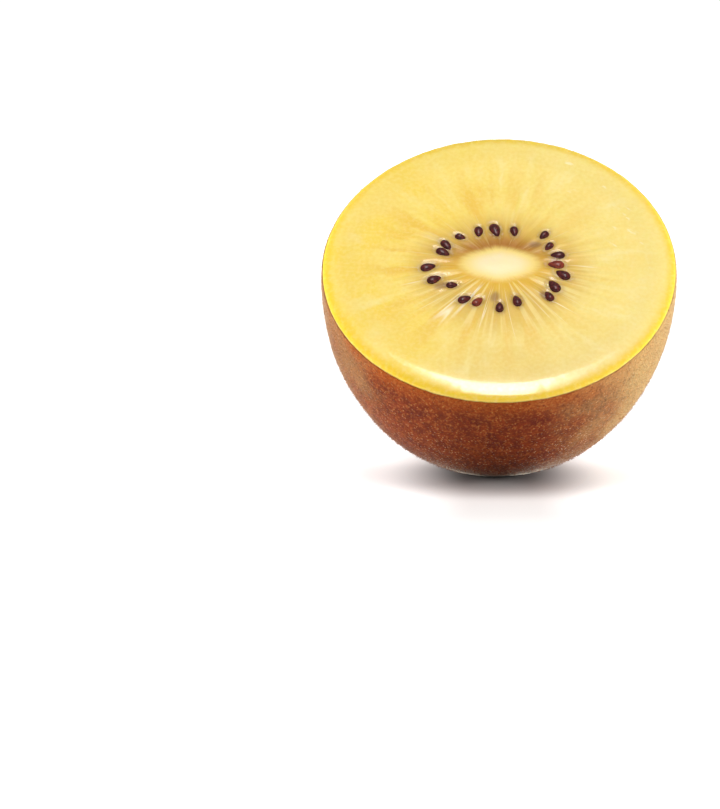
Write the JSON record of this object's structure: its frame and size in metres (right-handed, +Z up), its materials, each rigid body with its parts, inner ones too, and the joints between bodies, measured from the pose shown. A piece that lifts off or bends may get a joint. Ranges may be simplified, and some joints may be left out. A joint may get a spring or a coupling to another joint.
{
  "type": "golden kiwi fruit half",
  "caption": "Half of a golden kiwi fruit, cut across, lying tilted on its brown skin with its golden flesh, ring of seeds and pale core facing up and forwards.",
  "frame": {"origin": "middle of the small flat spot of skin that the half rests on", "axes": "+Z up from the surface it lies on; the cut face looks up and towards -Y, tilted 41.4 degrees from level; +X to the right as seen from the front"},
  "size_m": [0.0537, 0.0519, 0.0504],
  "materials": {
    "skin": "matte",
    "golden_flesh": "gloss",
    "seed_flesh": "gloss",
    "core": "satin",
    "seed_coat": "gloss"
  },
  "bodies": {
    "root": {"skin": "skin", "outer_flesh": "golden_flesh", "seed_flesh": "seed_flesh", "core": "core"}
  },
  "joints": []
}
